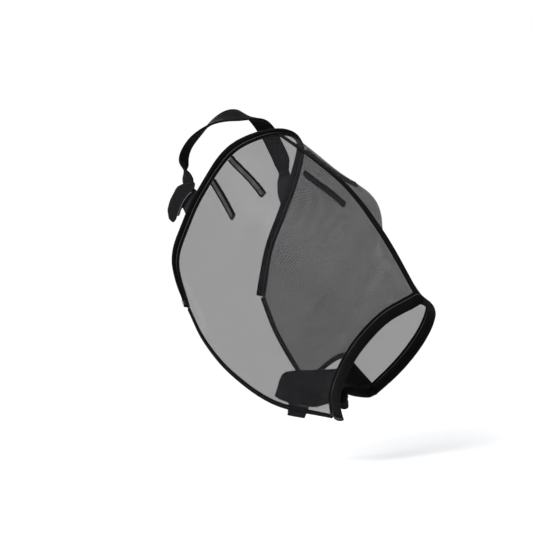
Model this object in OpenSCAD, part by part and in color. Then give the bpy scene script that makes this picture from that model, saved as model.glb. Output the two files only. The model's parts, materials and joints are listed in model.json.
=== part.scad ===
// Fly mask for a full-size horse, held in the attitude in which it is worn.
// The horse faces -Y, its left side is +X and up is +Z. The origin is the middle of the poll edge,
// where the mask crosses the forehead just in front of the ears.
// Head coordinates are [down the face, below the crown, out to the side], in millimetres.

/* [Head fit] */
// Length of the mesh down the nose, from the poll edge to the noseband
face_l = 370; // [345:1:395]
// Depth from the crown of the poll edge to the lowest jaw edge
jaw_d = 320; // [300:1:340]
// Width across the brow, outside the eye domes
brow_w = 202; // [190:1:214]
// Slope of the nose line below the horizontal
head_slope = 48; // [30:1:60]
// Height that the eye domes stand off the brow
dome_h = 19; // [0:1:26]

/* [Mesh] */
// Thickness of the coated mesh fabric
mesh_t = 1; // [0.8:0.1:1.2]
// Width of the tape over the centre seam, on each side of the ridge
seam_w = 3.4; // [2.5:0.1:5]

/* [Bindings] */
// Width of the padded roll around the poll edge
poll_roll_w = 12.4; // [10:0.1:15]
// Width of the padded roll of the noseband
nose_roll_w = 16; // [13:0.5:19]
// Depth to which the bindings overlap the mesh
overlap = 5; // [4:0.5:6]
// Height of the dart bindings above the mesh
dart_h = 4; // [2:0.5:5]

/* [Closures] */
// Length of the chin closure along the jaw edge, as a share of the face length
chin_share = 0.27; // [0.22:0.01:0.3]
// Length of the pull tab beyond the free edge of the chin flap
pull_tab_l = 32; // [14:1:36]
// Width of the poll strap
strap_w = 26; // [20:1:32]
// Running clearance between mating hook and loop faces
patch_gap = 0.3; // [0.3:0.1:0.6]

/* [Hidden] */

right = -1;
left = 1;
mesh_colour = [0.30, 0.29, 0.31];
binding_colour = [0.09, 0.09, 0.10];
padding_colour = [0.35, 0.35, 0.37];
strap_colour = [0.20, 0.20, 0.21];
lining_colour = [0.06, 0.06, 0.06];
hook_colour = [0.13, 0.13, 0.14];

// ---- The shape of the mask ----
// Five control sections, from the poll edge to the noseband. Each runs from the centre line,
// round the brow and the cheek, to the jaw edge of one half.
face_ref = 370;
jaw_ref = 320;
brow_ref = 202;
sections = [
    [[0, 0, 0], [-5, 30, 62], [-6, 104, 85], [-4, 176, 91], [5, 246, 89], [50, 304, 71]],
    [[85, -24, 0], [90, 6, 57], [92, 64, 97], [95, 150, 101], [97, 240, 90], [107, 320, 67]],
    [[180, -44, 0], [176, -6, 52], [172, 50, 90], [174, 135, 95], [178, 227, 78], [179, 320, 58]],
    [[275, -40, 0], [272, 2, 37], [268, 52, 62], [266, 130, 66], [266, 215, 55], [264, 300, 38]],
    [[370, -22, 0], [366, 14, 42], [361, 72, 59], [356, 134, 55], [350, 192, 37], [348, 248, 6]]
];
// Sharpness of the ridge at each section: 0 is round, 1 is a straight fold, more is a hollow beside it.
creases = [0, 0.1, 1.1, 1.7, 1.2];
// Centre and spread of the dome over each eye, in head coordinates
dome_along = 150;
dome_below = 30;
dome_spread = 34;
dome_fade = 60;

grid_u = 20;
grid_w = 20;
step = 0.002;

function mix(a, b, t) = a + (b - a) * t;
function clamp01(t) = min(1, max(0, t));
function smooth(t) = let (c = clamp01(t)) c * c * (3 - 2 * c);
function unit(v) = v / norm(v);
function square_to(v, t) = unit(v - (v * t) * t);
function spline(a, b, c, d, q) =
    0.5 * (2 * b + (c - a) * q + (2 * a - 5 * b + 4 * c - d) * q * q + (3 * b - a - 3 * c + d) * q * q * q);
function mirrored(p) = [p[0], p[1], -p[2]];

// A point at t from 0 to 1 along a list of points, with a chosen point before the first one.
function through(points, t, before) =
    let (last = len(points) - 1,
         i = max(0, min(floor(t * last), last - 1)),
         q = t * last - i,
         a = i == 0 ? before : points[i - 1],
         d = i + 2 > last ? 2 * points[last] - points[last - 1] : points[i + 2])
    spline(a, points[i], points[i + 1], d, q);
function through_open(points, t) = through(points, t, 2 * points[0] - points[1]);

function section_at(i, w) =
    let (row = sections[i],
         round_before = mirrored(row[1]),
         straight_before = 2 * row[0] - row[1])
    through(row, w, mix(round_before, straight_before, creases[i]));

function dome_lift(p) =
    dome_h * pow(clamp01(p[2] / dome_fade), 2)
    * exp(-(pow(p[0] - dome_along, 2) + pow(p[1] - dome_below, 2)) / (2 * dome_spread * dome_spread));

// A point of the mask in head coordinates: u runs from the poll edge to the noseband, and w from the
// centre line to the jaw edge.
function skin_point(u, w) =
    let (p = through_open([for (i = [0 : len(sections) - 1]) section_at(i, w)], u),
         lift = dome_lift(p),
         q = p + lift * [0, -0.5, 0.87])
    [q[0] * face_l / face_ref, q[1] * jaw_d / jaw_ref, q[2] * brow_w / brow_ref];

function head_to_row(p) = [
    p[2],
    -p[0] * cos(head_slope) + p[1] * sin(head_slope),
    -p[0] * sin(head_slope) - p[1] * cos(head_slope)
];

function at(u, w, side) = let (p = skin_point(u, w)) head_to_row([p[0], p[1], side * p[2]]);
function along_u(u, w, side) = at(u + step, w, side) - at(u - step, w, side);
function along_w(u, w, side) = at(u, w + step, side) - at(u, w - step, side);
function outward(u, w, side) =
    let (n = side * cross(along_u(u, w, side), along_w(u, w, side)))
    w < 0.001 ? unit([0, n[1], n[2]]) : unit(n);
function lifted(u, w, side, off) = at(u, w, side) + off * outward(u, w, side);

// The left half is cut back above the chin, where the chin flap is sewn on.
flap_w = 0.8;
flap_u = 1 - chin_share * 0.74;
cut_start = flap_u - 0.17;
cut_end = flap_u - 0.06;
function cut_share(u) = smooth((u - cut_start) / (cut_end - cut_start));
function jaw_limit(u, side) = side == right ? 1 : mix(1, flap_w, cut_share(u));

// ---- Closed solids from grids and sweeps ----
function turned(faces, flip) = flip ? [for (f = faces) [f[2], f[1], f[0]]] : faces;

// A thin solid between two grids of points with the same layout.
module sheet(outer, inner, flip) {
    rows = len(outer);
    cols = len(outer[0]);
    base = rows * cols;
    function o(i, j) = i * cols + j;
    function n(i, j) = base + i * cols + j;
    skins = [for (i = [0 : rows - 2]) for (j = [0 : cols - 2]) each [
        [o(i, j), o(i, j + 1), o(i + 1, j + 1)],
        [o(i, j), o(i + 1, j + 1), o(i + 1, j)],
        [n(i, j), n(i + 1, j + 1), n(i, j + 1)],
        [n(i, j), n(i + 1, j), n(i + 1, j + 1)]
    ]];
    side_rims = [for (j = [0 : cols - 2]) each [
        [o(0, j + 1), o(0, j), n(0, j)],
        [o(0, j + 1), n(0, j), n(0, j + 1)],
        [o(rows - 1, j), o(rows - 1, j + 1), n(rows - 1, j + 1)],
        [o(rows - 1, j), n(rows - 1, j + 1), n(rows - 1, j)]
    ]];
    end_rims = [for (i = [0 : rows - 2]) each [
        [o(i, 0), o(i + 1, 0), n(i + 1, 0)],
        [o(i, 0), n(i + 1, 0), n(i, 0)],
        [o(i + 1, cols - 1), o(i, cols - 1), n(i, cols - 1)],
        [o(i + 1, cols - 1), n(i, cols - 1), n(i + 1, cols - 1)]
    ]];
    polyhedron(
        points = [for (row = outer) each row, for (row = inner) each row],
        faces = turned(concat(skins, side_rims, end_rims), flip)
    );
}

function turn_at(p, k) = cross(p[k], p[(k + 1) % len(p)]);
function double_area(p, k = 0) = k == len(p) ? 0 : turn_at(p, k) + double_area(p, k + 1);

// A profile of [across, out] points carried along frames of [point, across, out].
module sweep(frames, profile) {
    m = len(profile);
    last = len(frames) - 1;
    points = [for (f = frames) for (p = profile) f[0] + p[0] * f[1] + p[1] * f[2]];
    walls = [for (i = [0 : last - 1]) for (k = [0 : m - 1])
        let (a = i * m + k, b = i * m + (k + 1) % m) each [[a, a + m, b + m], [a, b + m, b]]];
    along = cross(frames[0][1], frames[0][2]) * (frames[1][0] - frames[0][0]);
    backward = along * double_area(profile) < 0;
    caps = [[for (k = [0 : m - 1]) k], [for (k = [m - 1 : -1 : 0]) last * m + k]];
    all_faces = concat(walls, caps);
    polyhedron(
        points = points,
        faces = backward ? [for (f = all_faces) [for (k = [len(f) - 1 : -1 : 0]) f[k]]] : all_faces
    );
}

function edge_frame(p, t, n, b) = let (tu = unit(t), across = square_to(b, tu)) [
    p, across, unit(n - (n * tu) * tu - (n * across) * across)
];

// ---- Edge frames ----
// Each edge's frames have the same spacing as the mesh grid, so that the bindings fit round it.
function poll_frame(w, side) =
    edge_frame(at(0, w, side), middle_only(along_w(0, w, side), w), outward(0, w, side),
               middle_flat(-along_u(0, w, side), w));
function nose_frame(w, side) =
    edge_frame(at(1, w, side), middle_only(along_w(1, w, side), w), outward(1, w, side),
               middle_flat(along_u(1, w, side), w));
// On the centre line an edge runs straight across, and its outward direction has no sideways part.
function middle_only(v, w) = w < 0.001 ? [1, 0, 0] : v;
function middle_flat(v, w) = w < 0.001 ? [0, v[1], v[2]] : v;

function jaw_frame(u, side) =
    let (w = jaw_limit(u, side),
         t = at(u + step, jaw_limit(u + step, side), side) - at(u - step, jaw_limit(u - step, side), side))
    edge_frame(at(u, w, side), t, outward(u, w, side), along_w(u, w, side));

poll_frames = concat(
    [for (j = [grid_w : -1 : 1]) poll_frame(j / grid_w, right)],
    [for (j = [0 : grid_w]) poll_frame(j / grid_w, left)]
);
nose_frames = concat(
    [for (j = [grid_w : -1 : 1]) nose_frame(j / grid_w, right)],
    [for (j = [0 : grid_w - 1]) nose_frame(flap_w * j / grid_w, left)],
    [nose_frame(flap_w - 0.008, left)]
);
function jaw_frames(side, first, end) =
    let (lines = [for (i = [0 : grid_u]) i / grid_u],
         between = [for (u = lines) if (u > first + 0.01 && u < end - 0.01) u])
    [for (u = concat([first], between, [end])) jaw_frame(u, side)];

// ---- Profiles ----
slot = mesh_t / 2 + 0.4;
wall = 1.2;
leg = slot + wall;

// A folded strip round a mesh edge, whose roll holds a foam core.
function roll_profile(roll_w, roll_h) = [
    [-overlap, -leg], [-overlap, -slot], [0.8, -slot],
    [2.2, -roll_h + wall], [roll_w - 3.2, -roll_h + wall], [roll_w - wall, 0],
    [roll_w - 3.2, roll_h - wall], [2.2, roll_h - wall],
    [0.8, slot], [-overlap, slot], [-overlap, leg], [0, leg],
    [2, roll_h], [roll_w - 2.6, roll_h], [roll_w, 0], [roll_w - 2.6, -roll_h], [2, -roll_h], [0, -leg]
];
core_gap = 0.3;
function core_profile(roll_w, roll_h) =
    let (h = roll_h - wall - core_gap) [
        [1.6, 0], [2.8, -h], [roll_w - 3.6, -h], [roll_w - wall - 0.6, 0], [roll_w - 3.6, h], [2.8, h]
    ];
// A plain folded strip.
plain_binding = [
    [-overlap, -leg], [-overlap, -slot], [1, -slot], [1, slot], [-overlap, slot], [-overlap, leg],
    [2, leg], [3.4, 0], [2, -leg]
];
poll_roll_h = 4.2;
nose_roll_h = 4.4;

// ---- Mesh and its seam ----
seam_gap = 0.004;

function panel_grid(side, off) = [for (i = [0 : grid_u]) let (u = i / grid_u) [
    for (j = [0 : grid_w]) lifted(u, max(seam_gap, jaw_limit(u, side) * j / grid_w), side, off)
]];

module mesh_panel(side) {
    color(mesh_colour)
    sheet(panel_grid(side, mesh_t / 2), panel_grid(side, -mesh_t / 2), side == right);
}

seam_in = mesh_t / 2 + 0.3;
seam_t = 0.9;
seam_lines = concat([0.022], [for (i = [1 : grid_u - 1]) i / grid_u], [0.98]);

// The tape folds over the ridge. Its sides lie along the first cells of the mesh, and its fold is mitred.
function seam_side(u, side, off) =
    let (a = lifted(u, seam_gap, side, off), b = lifted(u, 1 / grid_w, side, off))
    a + seam_w * unit(b - a);
function seam_fold(u, off) =
    let (n = outward(u, 0, right), m = outward(u, seam_gap, right))
    at(u, 0, right) + off / (n * m) * n;
function seam_grid(off) = [for (u = seam_lines) [
    seam_side(u, right, off), seam_fold(u, off), seam_side(u, left, off)
]];

module centre_seam_tape() {
    color(binding_colour)
    sheet(seam_grid(seam_in + seam_t), seam_grid(seam_in), false);
}

// ---- Darts ----
// Each dart is a tuck in the mesh closed by a narrow strip, running from the poll edge towards the eye.
upper_dart = [[0.038, 0.245], [0.31, 0.285]];
lower_dart = [[0.038, 0.36], [0.25, 0.43]];
dart_steps = 12;
dart_half_w = 5;
dart_base = mesh_t / 2 + 0.25;
dart_top_w = 3;
dart_foot = 1.4;
dart_profile = [
    [-dart_half_w, 0], [-dart_half_w, dart_foot], [-dart_top_w, dart_h],
    [dart_top_w, dart_h], [dart_half_w, dart_foot], [dart_half_w, 0]
];

module dart(ends, side) {
    frames = [for (i = [0 : dart_steps]) let (
        c = mix(ends[0], ends[1], i / dart_steps),
        d = (ends[1] - ends[0]) * step,
        t = at(c[0] + d[0], c[1] + d[1], side) - at(c[0] - d[0], c[1] - d[1], side),
        n = outward(c[0], c[1], side)
    ) edge_frame(lifted(c[0], c[1], side, dart_base), t, n, cross(n, t))];
    color(binding_colour) sweep(frames, dart_profile);
}

// ---- Bindings ----
jaw_start = 0.02;
jaw_end = 0.98;
left_jaw_end = flap_u - 0.005;

module poll_edge_binding() {
    color(binding_colour) sweep(poll_frames, roll_profile(poll_roll_w, poll_roll_h));
}

module poll_edge_padding() {
    color(padding_colour) sweep(poll_frames, core_profile(poll_roll_w, poll_roll_h));
}

module jaw_binding(side) {
    color(binding_colour)
    sweep(jaw_frames(side, jaw_start, side == right ? jaw_end : left_jaw_end), plain_binding);
}

module noseband_cover() {
    color(binding_colour) sweep(nose_frames, roll_profile(nose_roll_w, nose_roll_h));
}

module noseband_padding() {
    color(padding_colour) sweep(nose_frames, core_profile(nose_roll_w, nose_roll_h));
}

// ---- Chin closure ----
// The flap hangs from the left half, passes under the chin and lies inside the right jaw edge.
flap_t = 2;
strip_t = 1.2;
loop_in = mesh_t / 2 + 0.45;
hook_in = loop_in + strip_t + patch_gap;
flap_in = hook_in + strip_t + 0.5;
flap_mid = flap_in + flap_t / 2;
// At the front the flap lies further in, so that its noseband end swings past the right half's.
nose_clear = 2 * nose_roll_h + 8;
// The strips share the mesh grid's lines, so that their facets lie parallel to the mesh.
strip_u = [for (i = [15 : 17]) i / grid_u];
loop_w = [0.90, 0.925, 0.95, 0.975];
hook_w = [0.925, 0.95, 0.975];
flap_cols = 15;
flap_rows = 10;
flap_free_w = 0.98;
flap_front_w = 0.965;
flap_lap_w = 0.88;

// The flap crosses from the left half to a shoulder, then lies parallel to the right half.
function front_share(u) = smooth((u - 0.9) / 0.08);
function flap_inset(u) = mix(flap_mid, nose_clear, front_share(u));
function flap_lap(u, q) =
    let (w = mix(flap_lap_w, mix(flap_free_w, flap_front_w, front_share(u)), q))
    lifted(u, w, right, -flap_inset(u));
function flap_point(u, t) =
    let (start = lifted(u, flap_w + 0.01, left, 0),
         shoulder = lifted(u, flap_lap_w - 0.03, right, -flap_inset(u) - 9),
         belly = mix(start, shoulder, 0.5) + head_to_row([0, 3, 0]))
    through([start, belly, shoulder, flap_lap(u, 0), flap_lap(u, 0.5), flap_lap(u, 1)], t,
            at(u, flap_w - 0.12, left));
function flap_rear(t) = mix(flap_u, 1 - chin_share, smooth(t / 0.6));
function flap_out(u, t) = unit(cross(flap_point(u + step, t) - flap_point(u - step, t),
                                     flap_point(u, min(1, t + step)) - flap_point(u, t - step)));
function flap_grid(off, u_end) = [for (i = [0 : flap_rows]) [
    for (j = [0 : flap_cols]) let (t = j / flap_cols, u = mix(flap_rear(t), u_end, i / flap_rows))
        flap_point(u, t) + off * flap_out(u, t)
]];

module chin_flap() {
    color(strap_colour) sheet(flap_grid(flap_t / 2, 1), flap_grid(-flap_t / 2, 1), false);
}

// A strip that follows the inside of the right half, between two depths below the mesh.
module closure_strip(depth, lines_w) {
    function layer(off) = [for (u = strip_u) [for (w = lines_w) lifted(u, w, right, -off)]];
    color(hook_colour) sheet(layer(depth), layer(depth + strip_t), true);
}

module chin_loop_strip() {
    closure_strip(loop_in, loop_w);
}

module chin_hook_strip() {
    closure_strip(hook_in, hook_w);
}

// A narrow tape on the face of the flap that turns away from the right half, along its rear edge.
tape_share = 0.14;
module chin_flap_edge_tape() {
    function layer(off) = [for (i = [0 : 1]) [
        for (j = [1 : flap_cols]) let (t = j / flap_cols, u = mix(flap_rear(t), 1, mix(0.01, tape_share, i)))
            flap_point(u, t) + off * flap_out(u, t)
    ]];
    near = flap_t / 2 + 0.3;
    color(binding_colour) sheet(layer(near + 1), layer(near), false);
}

function flap_end_frame(t) = edge_frame(
    flap_point(1, t), flap_point(1, t + step) - flap_point(1, t - step), flap_out(1, t - step),
    flap_point(1, t) - flap_point(1 - step, t)
);
flap_end_frames = [for (j = [0 : flap_cols]) flap_end_frame(mix(0.03, 0.995, j / flap_cols))];
end_leg = flap_t / 2 + 0.3;
end_profile = [
    [0.5, -end_leg], [0.5, -2.2], [2.5, -nose_roll_h], [nose_roll_w - 2.6, -nose_roll_h], [nose_roll_w, 0],
    [nose_roll_w - 2.6, nose_roll_h], [2.5, nose_roll_h], [0.5, 2.2], [0.5, end_leg],
    [2.2, nose_roll_h - wall], [nose_roll_w - 3.2, nose_roll_h - wall], [nose_roll_w - wall, 0],
    [nose_roll_w - 3.2, -nose_roll_h + wall], [2.2, -nose_roll_h + wall]
];

module noseband_end_cover() {
    color(binding_colour) sweep(flap_end_frames, end_profile);
}

// The end turns more sharply than the rest of the noseband, so its core is a little slimmer.
end_core_slack = 0.4;
module noseband_end_padding() {
    color(padding_colour)
    sweep(flap_end_frames, core_profile(nose_roll_w - end_core_slack, nose_roll_h - end_core_slack));
}

tab_u0 = 0.80;
tab_u1 = 0.89;
tab_t = 1.6;
tab_gap = 1;

module pull_tab() {
    function tab_point(u, far) =
        let (p = flap_point(u, 1), d = unit(p - flap_point(u, 1 - 0.05)))
        p + d * mix(tab_gap, pull_tab_l, far);
    function layer(off) = [for (i = [0 : 3]) [
        for (far = [0 : 0.5 : 1])
            let (u = mix(tab_u0 + 0.01 * far, tab_u1 - 0.01 * far, i / 3))
            tab_point(u, far) + off * flap_out(u, 1 - step)
    ]];
    color(strap_colour) sheet(layer(tab_t / 2), layer(-tab_t / 2), false);
}

// ---- Poll strap and its hook flap ----
tab_thick = 1.8;
patch_t = 1.2;
flap_thick = 2;
tab_x = 85;
loop_x = tab_x + tab_thick + 0.1;
hook_x = loop_x + patch_t + patch_gap;
flap_x = hook_x + patch_t + 0.1;
strap_x = flap_x + flap_thick / 2;
strap_t = 1.8;
lining_t = 1.2;
strap_steps = 40;
// The strap lies flat at its ends and over its middle, and is turned on edge between them. Shares of its length.
strap_turn = 70;
turn_in = 0.12;
turn_out = 0.25;

// The strap's line behind the ears, from one end to the middle.
strap_line = [
    [-40, 119, strap_x], [-59, 108, strap_x + 0.5], [-75, 96, 85],
    [-85, 79, 72], [-91, 58, 48], [-95, 47, 22]
];
strap_middle = [-96, 44, 0];
strap_points = concat([for (p = strap_line) mirrored(p)], [strap_middle],
                      [for (k = [len(strap_line) - 1 : -1 : 0]) strap_line[k]]);

function strap_frame(t) =
    let (p = through_open(strap_points, t),
         before = through_open(strap_points, max(0, t - step)),
         after = through_open(strap_points, min(1, t + step)),
         tangent = unit(head_to_row(after - before)),
         radial = square_to(head_to_row([0, p[1] - strap_line[0][1], p[2]]), tangent),
         across = cross(tangent, radial),
         from_end = min(t, 1 - t),
         turn = strap_turn * smooth(from_end / turn_in) * smooth((0.5 - from_end) / turn_out))
    [head_to_row(p), across * cos(turn) + radial * sin(turn), radial * cos(turn) - across * sin(turn)];
strap_frames = [for (i = [0 : strap_steps]) strap_frame(mix(0.004, 0.996, i / strap_steps))];
layer_gap = 0.1;
function strap_grid(off) = [for (f = strap_frames) [
    for (k = [-0.5 : 0.25 : 0.5]) f[0] + k * strap_w * f[1] + off * f[2]
]];

module poll_strap() {
    color(strap_colour) sheet(strap_grid(layer_gap + strap_t), strap_grid(layer_gap), true);
}

module poll_strap_lining() {
    color(lining_colour) sheet(strap_grid(-layer_gap), strap_grid(-layer_gap - lining_t), true);
}

// Draws a flat piece whose outline is in head coordinates, between two distances from the middle.
module flat_piece(side, near, thick) {
    translate([side == left ? near : -near - thick, 0, 0])
    rotate([180 + head_slope, 0, 0])
    rotate([90, 0, 90])
    linear_extrude(thick) children();
}

function bezier(a, b, c, t) = (1 - t) * (1 - t) * a + 2 * t * (1 - t) * b + t * t * c;
curve_steps = 12;
piped_edge = [for (i = [0 : curve_steps]) bezier([-21, 120], [-38, 142], [-32, 190], i / curve_steps)];
flap_top = [[-58, 146], [-47.5, 130.1], [-29.5, 110.7], [-24, 111]];
flap_foot = [[-35, 199], [-47, 201], [-58, 192], [-61, 176]];
flap_outline = concat(flap_top, piped_edge, flap_foot);

module loop_tab() {
    color(strap_colour) flat_piece(right, tab_x, tab_thick)
    polygon([[-18.6, 121], [-30, 124], [-47, 139], [-49, 166], [-34, 166], [-18.6, 170]]);
}

module loop_tab_patch() {
    color(hook_colour) flat_piece(right, loop_x, patch_t)
    polygon([[-33, 132], [-45, 141], [-46.5, 163], [-34, 163]]);
}

module strap_root_tab() {
    color(strap_colour) flat_piece(left, flap_x, flap_thick)
    polygon([[-18.6, 119], [-29.5, 110.7], [-47.5, 130.1], [-45, 142], [-33, 158], [-18.6, 166]]);
}

module hook_flap() {
    color(strap_colour) flat_piece(right, flap_x, flap_thick) polygon(flap_outline);
}

module hook_flap_patch() {
    color(hook_colour) flat_piece(right, hook_x, patch_t)
    polygon([[-35, 136], [-47, 143], [-48, 176], [-37, 176]]);
}

piping_r = 1.7;
module hook_flap_piping() {
    frames = [for (i = [1 : curve_steps - 1]) let (
        d = unit(piped_edge[i + 1] - piped_edge[i - 1]),
        away = [-d[1], d[0]] * -1,
        c = piped_edge[i] + away * (piping_r + 0.15)
    ) [head_to_row([c[0], c[1], -strap_x]), head_to_row([away[0], away[1], 0]), [-1, 0, 0]]];
    color(binding_colour)
    sweep(frames, [for (k = [0 : 7]) piping_r * [cos(45 * k), sin(45 * k)]]);
}

mesh_panel(right);  // mesh_panel_right
mesh_panel(left);  // mesh_panel_left
centre_seam_tape();
dart(upper_dart, right);  // dart_right_upper
dart(lower_dart, right);  // dart_right_lower
dart(upper_dart, left);  // dart_left_upper
dart(lower_dart, left);  // dart_left_lower
poll_edge_binding();
poll_edge_padding();
jaw_binding(right);  // jaw_binding_right
jaw_binding(left);  // jaw_binding_left
noseband_cover();
noseband_padding();
chin_loop_strip();
loop_tab();
loop_tab_patch();
strap_root_tab();
poll_strap();
poll_strap_lining();
hook_flap();
hook_flap_patch();
hook_flap_piping();
chin_flap();
chin_hook_strip();
chin_flap_edge_tape();
noseband_end_cover();
noseband_end_padding();
pull_tab();
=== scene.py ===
"""The looks of a horse's fly mask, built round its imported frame.

Every soft piece is rebuilt from the grid or outline of the CAD node that it stands for. The modelling is
in millimetres, and new_piece() turns it into metres. The horse faces -Y, its left is +X and up is +Z.
"""

import json
import math

import bmesh
import bpy
import numpy as np
from mathutils import Matrix, Vector


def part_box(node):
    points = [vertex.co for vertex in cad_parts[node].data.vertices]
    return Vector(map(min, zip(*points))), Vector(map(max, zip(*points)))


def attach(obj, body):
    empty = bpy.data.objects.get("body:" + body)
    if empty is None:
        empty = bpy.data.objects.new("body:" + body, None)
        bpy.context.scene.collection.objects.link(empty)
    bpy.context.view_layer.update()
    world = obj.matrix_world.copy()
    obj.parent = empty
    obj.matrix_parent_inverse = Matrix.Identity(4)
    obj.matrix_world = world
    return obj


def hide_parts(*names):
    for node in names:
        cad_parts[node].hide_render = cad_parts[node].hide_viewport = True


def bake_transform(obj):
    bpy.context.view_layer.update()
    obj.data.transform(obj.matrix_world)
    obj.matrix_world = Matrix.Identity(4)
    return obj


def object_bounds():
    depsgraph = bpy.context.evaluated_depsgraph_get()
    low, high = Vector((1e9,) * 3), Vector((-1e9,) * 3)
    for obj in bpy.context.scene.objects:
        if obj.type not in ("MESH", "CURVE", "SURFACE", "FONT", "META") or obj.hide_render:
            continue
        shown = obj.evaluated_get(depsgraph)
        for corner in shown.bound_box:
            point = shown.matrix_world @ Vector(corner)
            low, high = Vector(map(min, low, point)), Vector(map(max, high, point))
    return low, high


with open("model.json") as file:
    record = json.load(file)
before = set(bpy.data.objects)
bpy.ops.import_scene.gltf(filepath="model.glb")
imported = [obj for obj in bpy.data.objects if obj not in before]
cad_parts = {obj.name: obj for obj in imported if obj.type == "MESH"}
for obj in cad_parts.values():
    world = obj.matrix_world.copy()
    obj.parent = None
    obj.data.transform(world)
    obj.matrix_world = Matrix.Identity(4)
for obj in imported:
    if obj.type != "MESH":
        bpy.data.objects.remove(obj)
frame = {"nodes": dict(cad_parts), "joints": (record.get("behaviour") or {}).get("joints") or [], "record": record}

cad_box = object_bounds()

MM = 0.001
record = frame["record"]
mounts = {m["name"]: m for m in record["mounts"]}
joints = {j["name"]: j for j in frame["joints"]}

# Directions of the head: down the face, towards the jaw, and out to the horse's left.
LEFTWARD = np.array([1.0, 0.0, 0.0])
DOWN_FACE = np.array(mounts["nose_opening"]["axis"], float)
JAWWARD = np.cross(LEFTWARD, DOWN_FACE)
cavity = next(o for o in record["physics"]["openings"] if o["name"] == "head_cavity")
HEAD_CENTRE = np.mean(cavity["box_m"], axis=0) / MM


# ---- Curves and grids of points ----
def resample(points, t):
    """Points on a smooth curve through a row of points, at t from 0 to the last index."""
    last = len(points) - 1
    i = np.clip(np.floor(t).astype(int), 0, last - 1)
    q = (t - i).reshape((-1,) + (1,) * (points.ndim - 1))
    before = [2 * points[0] - points[1]]
    after = [2 * points[-1] - points[-2]]
    row = np.concatenate([before, points, after])
    a, b, c, d = (row[i + k] for k in range(4))
    square = (2 * a - 5 * b + 4 * c - d) * q**2
    cube = (3 * b - a - 3 * c + d) * q**3
    return 0.5 * (2 * b + (c - a) * q + square + cube)


def refine(grid, rows, cols):
    """A finer grid through the same surface. Rows and cols are counts, or places from 0 to 1."""
    tall_at = rows if isinstance(rows, np.ndarray) else np.linspace(0, 1, rows)
    wide_at = cols if isinstance(cols, np.ndarray) else np.linspace(0, 1, cols)
    tall = resample(grid, tall_at * (len(grid) - 1))
    wide = resample(np.swapaxes(tall, 0, 1), wide_at * (grid.shape[1] - 1))
    return np.swapaxes(wide, 0, 1)


def unit(v):
    return v / np.maximum(np.linalg.norm(v, axis=-1, keepdims=True), 1e-9)


def without(v, direction):
    """Vectors with their part along a unit direction taken out."""
    return v - np.sum(v * direction, axis=-1, keepdims=True) * direction


def nearest(points, others):
    """The index of the other point that lies nearest to each point."""
    return np.linalg.norm(points[:, None] - others[None], axis=-1).argmin(axis=1)


def circle(count):
    """Angles evenly spaced round a circle."""
    return np.arange(count) * 2 * math.pi / count


def outward_normals(grid, centre=HEAD_CENTRE):
    """Unit normals of a grid that point away from the middle of the head."""
    n = unit(np.cross(np.gradient(grid, axis=0), np.gradient(grid, axis=1)))
    away = np.sum(n * (grid - centre), axis=-1).mean()
    return n if away > 0 else -n


def lengths(points):
    """Distance along a row of points to each of them."""
    steps = np.linalg.norm(np.diff(points, axis=0), axis=-1)
    zero = np.zeros((1,) + steps.shape[1:])
    return np.concatenate([zero, np.cumsum(steps, axis=0)])


def turns(centre, pitch):
    """The angle of a pattern that repeats with the pitch, at each point of a line, as a column."""
    return lengths(centre)[:, None] * 2 * math.pi / pitch


def spaced(at, travelled, values):
    """Rows of values along a line, read at other distances."""
    return np.stack([np.interp(at, travelled, column) for column in values.T], axis=-1)


def smoothed(values, spread):
    """Values blurred along their first axis, where spread counts steps."""
    if spread < 0.3:
        return values
    reach = int(3 * spread) + 1
    weights = np.exp(-0.5 * (np.arange(-reach, reach + 1) / spread) ** 2)
    weights /= weights.sum()
    ends = [(reach, reach)] + [(0, 0)] * (values.ndim - 1)
    padded = np.pad(values, ends, mode="edge")
    return sum(w * padded[k : k + len(values)] for k, w in enumerate(weights))


def wander(count, spread, seed):
    """A smooth random line of the given length, between about -1 and 1."""
    noise = smoothed(np.random.default_rng(seed).normal(size=count), spread)
    return noise / max(np.abs(noise).max(), 1e-9)


def wander_grid(shape, spread, seed):
    """A smooth random field, between about -1 and 1."""
    noise = np.random.default_rng(seed).normal(size=shape)
    noise = smoothed(noise, spread[0])
    noise = smoothed(noise.T, spread[1]).T
    return noise / np.abs(noise).max()


# ---- Reading the frame ----
WELD = 2e-5  # metres
THROUGH = 1.15  # an edge through a sheet is shorter than this many thicknesses
THROUGH_FOLD = 1.8  # and through a sharply folded one than this many


def welded(node):
    """A CAD node's points in millimetres and its triangles, with equal points joined."""
    bm = bmesh.new()
    bm.from_mesh(frame["nodes"][node].data)
    bmesh.ops.remove_doubles(bm, verts=bm.verts, dist=WELD)
    bmesh.ops.triangulate(bm, faces=bm.faces)
    bm.verts.index_update()
    points = np.array([v.co for v in bm.verts]) / MM
    triangles = [tuple(v.index for v in f.verts) for f in bm.faces]
    bm.free()
    return points, triangles


def edges_of(triangles):
    """The triangles on each edge."""
    found = {}
    for t in triangles:
        for k in range(3):
            found.setdefault(frozenset((t[k], t[(k + 1) % 3])), []).append(t)
    return found


def one_skin(points, triangles, through):
    """The triangles of a thin sheet's first skin, and the sheet's thickness."""
    def long(e):
        a, b = e
        return np.linalg.norm(points[a] - points[b])
    thickness = min(long(e) for e in edges_of(triangles))
    limit = through * thickness
    skins = [t for t in triangles if min(long((t[k], t[(k + 1) % 3])) for k in range(3)) > limit]
    by_edge = edges_of(skins)
    seen = {skins[0]}
    queue = [skins[0]]
    while queue:
        t = queue.pop()
        for k in range(3):
            for other in by_edge[frozenset((t[k], t[(k + 1) % 3]))]:
                if other not in seen:
                    seen.add(other)
                    queue.append(other)
    return list(seen), thickness


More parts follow.
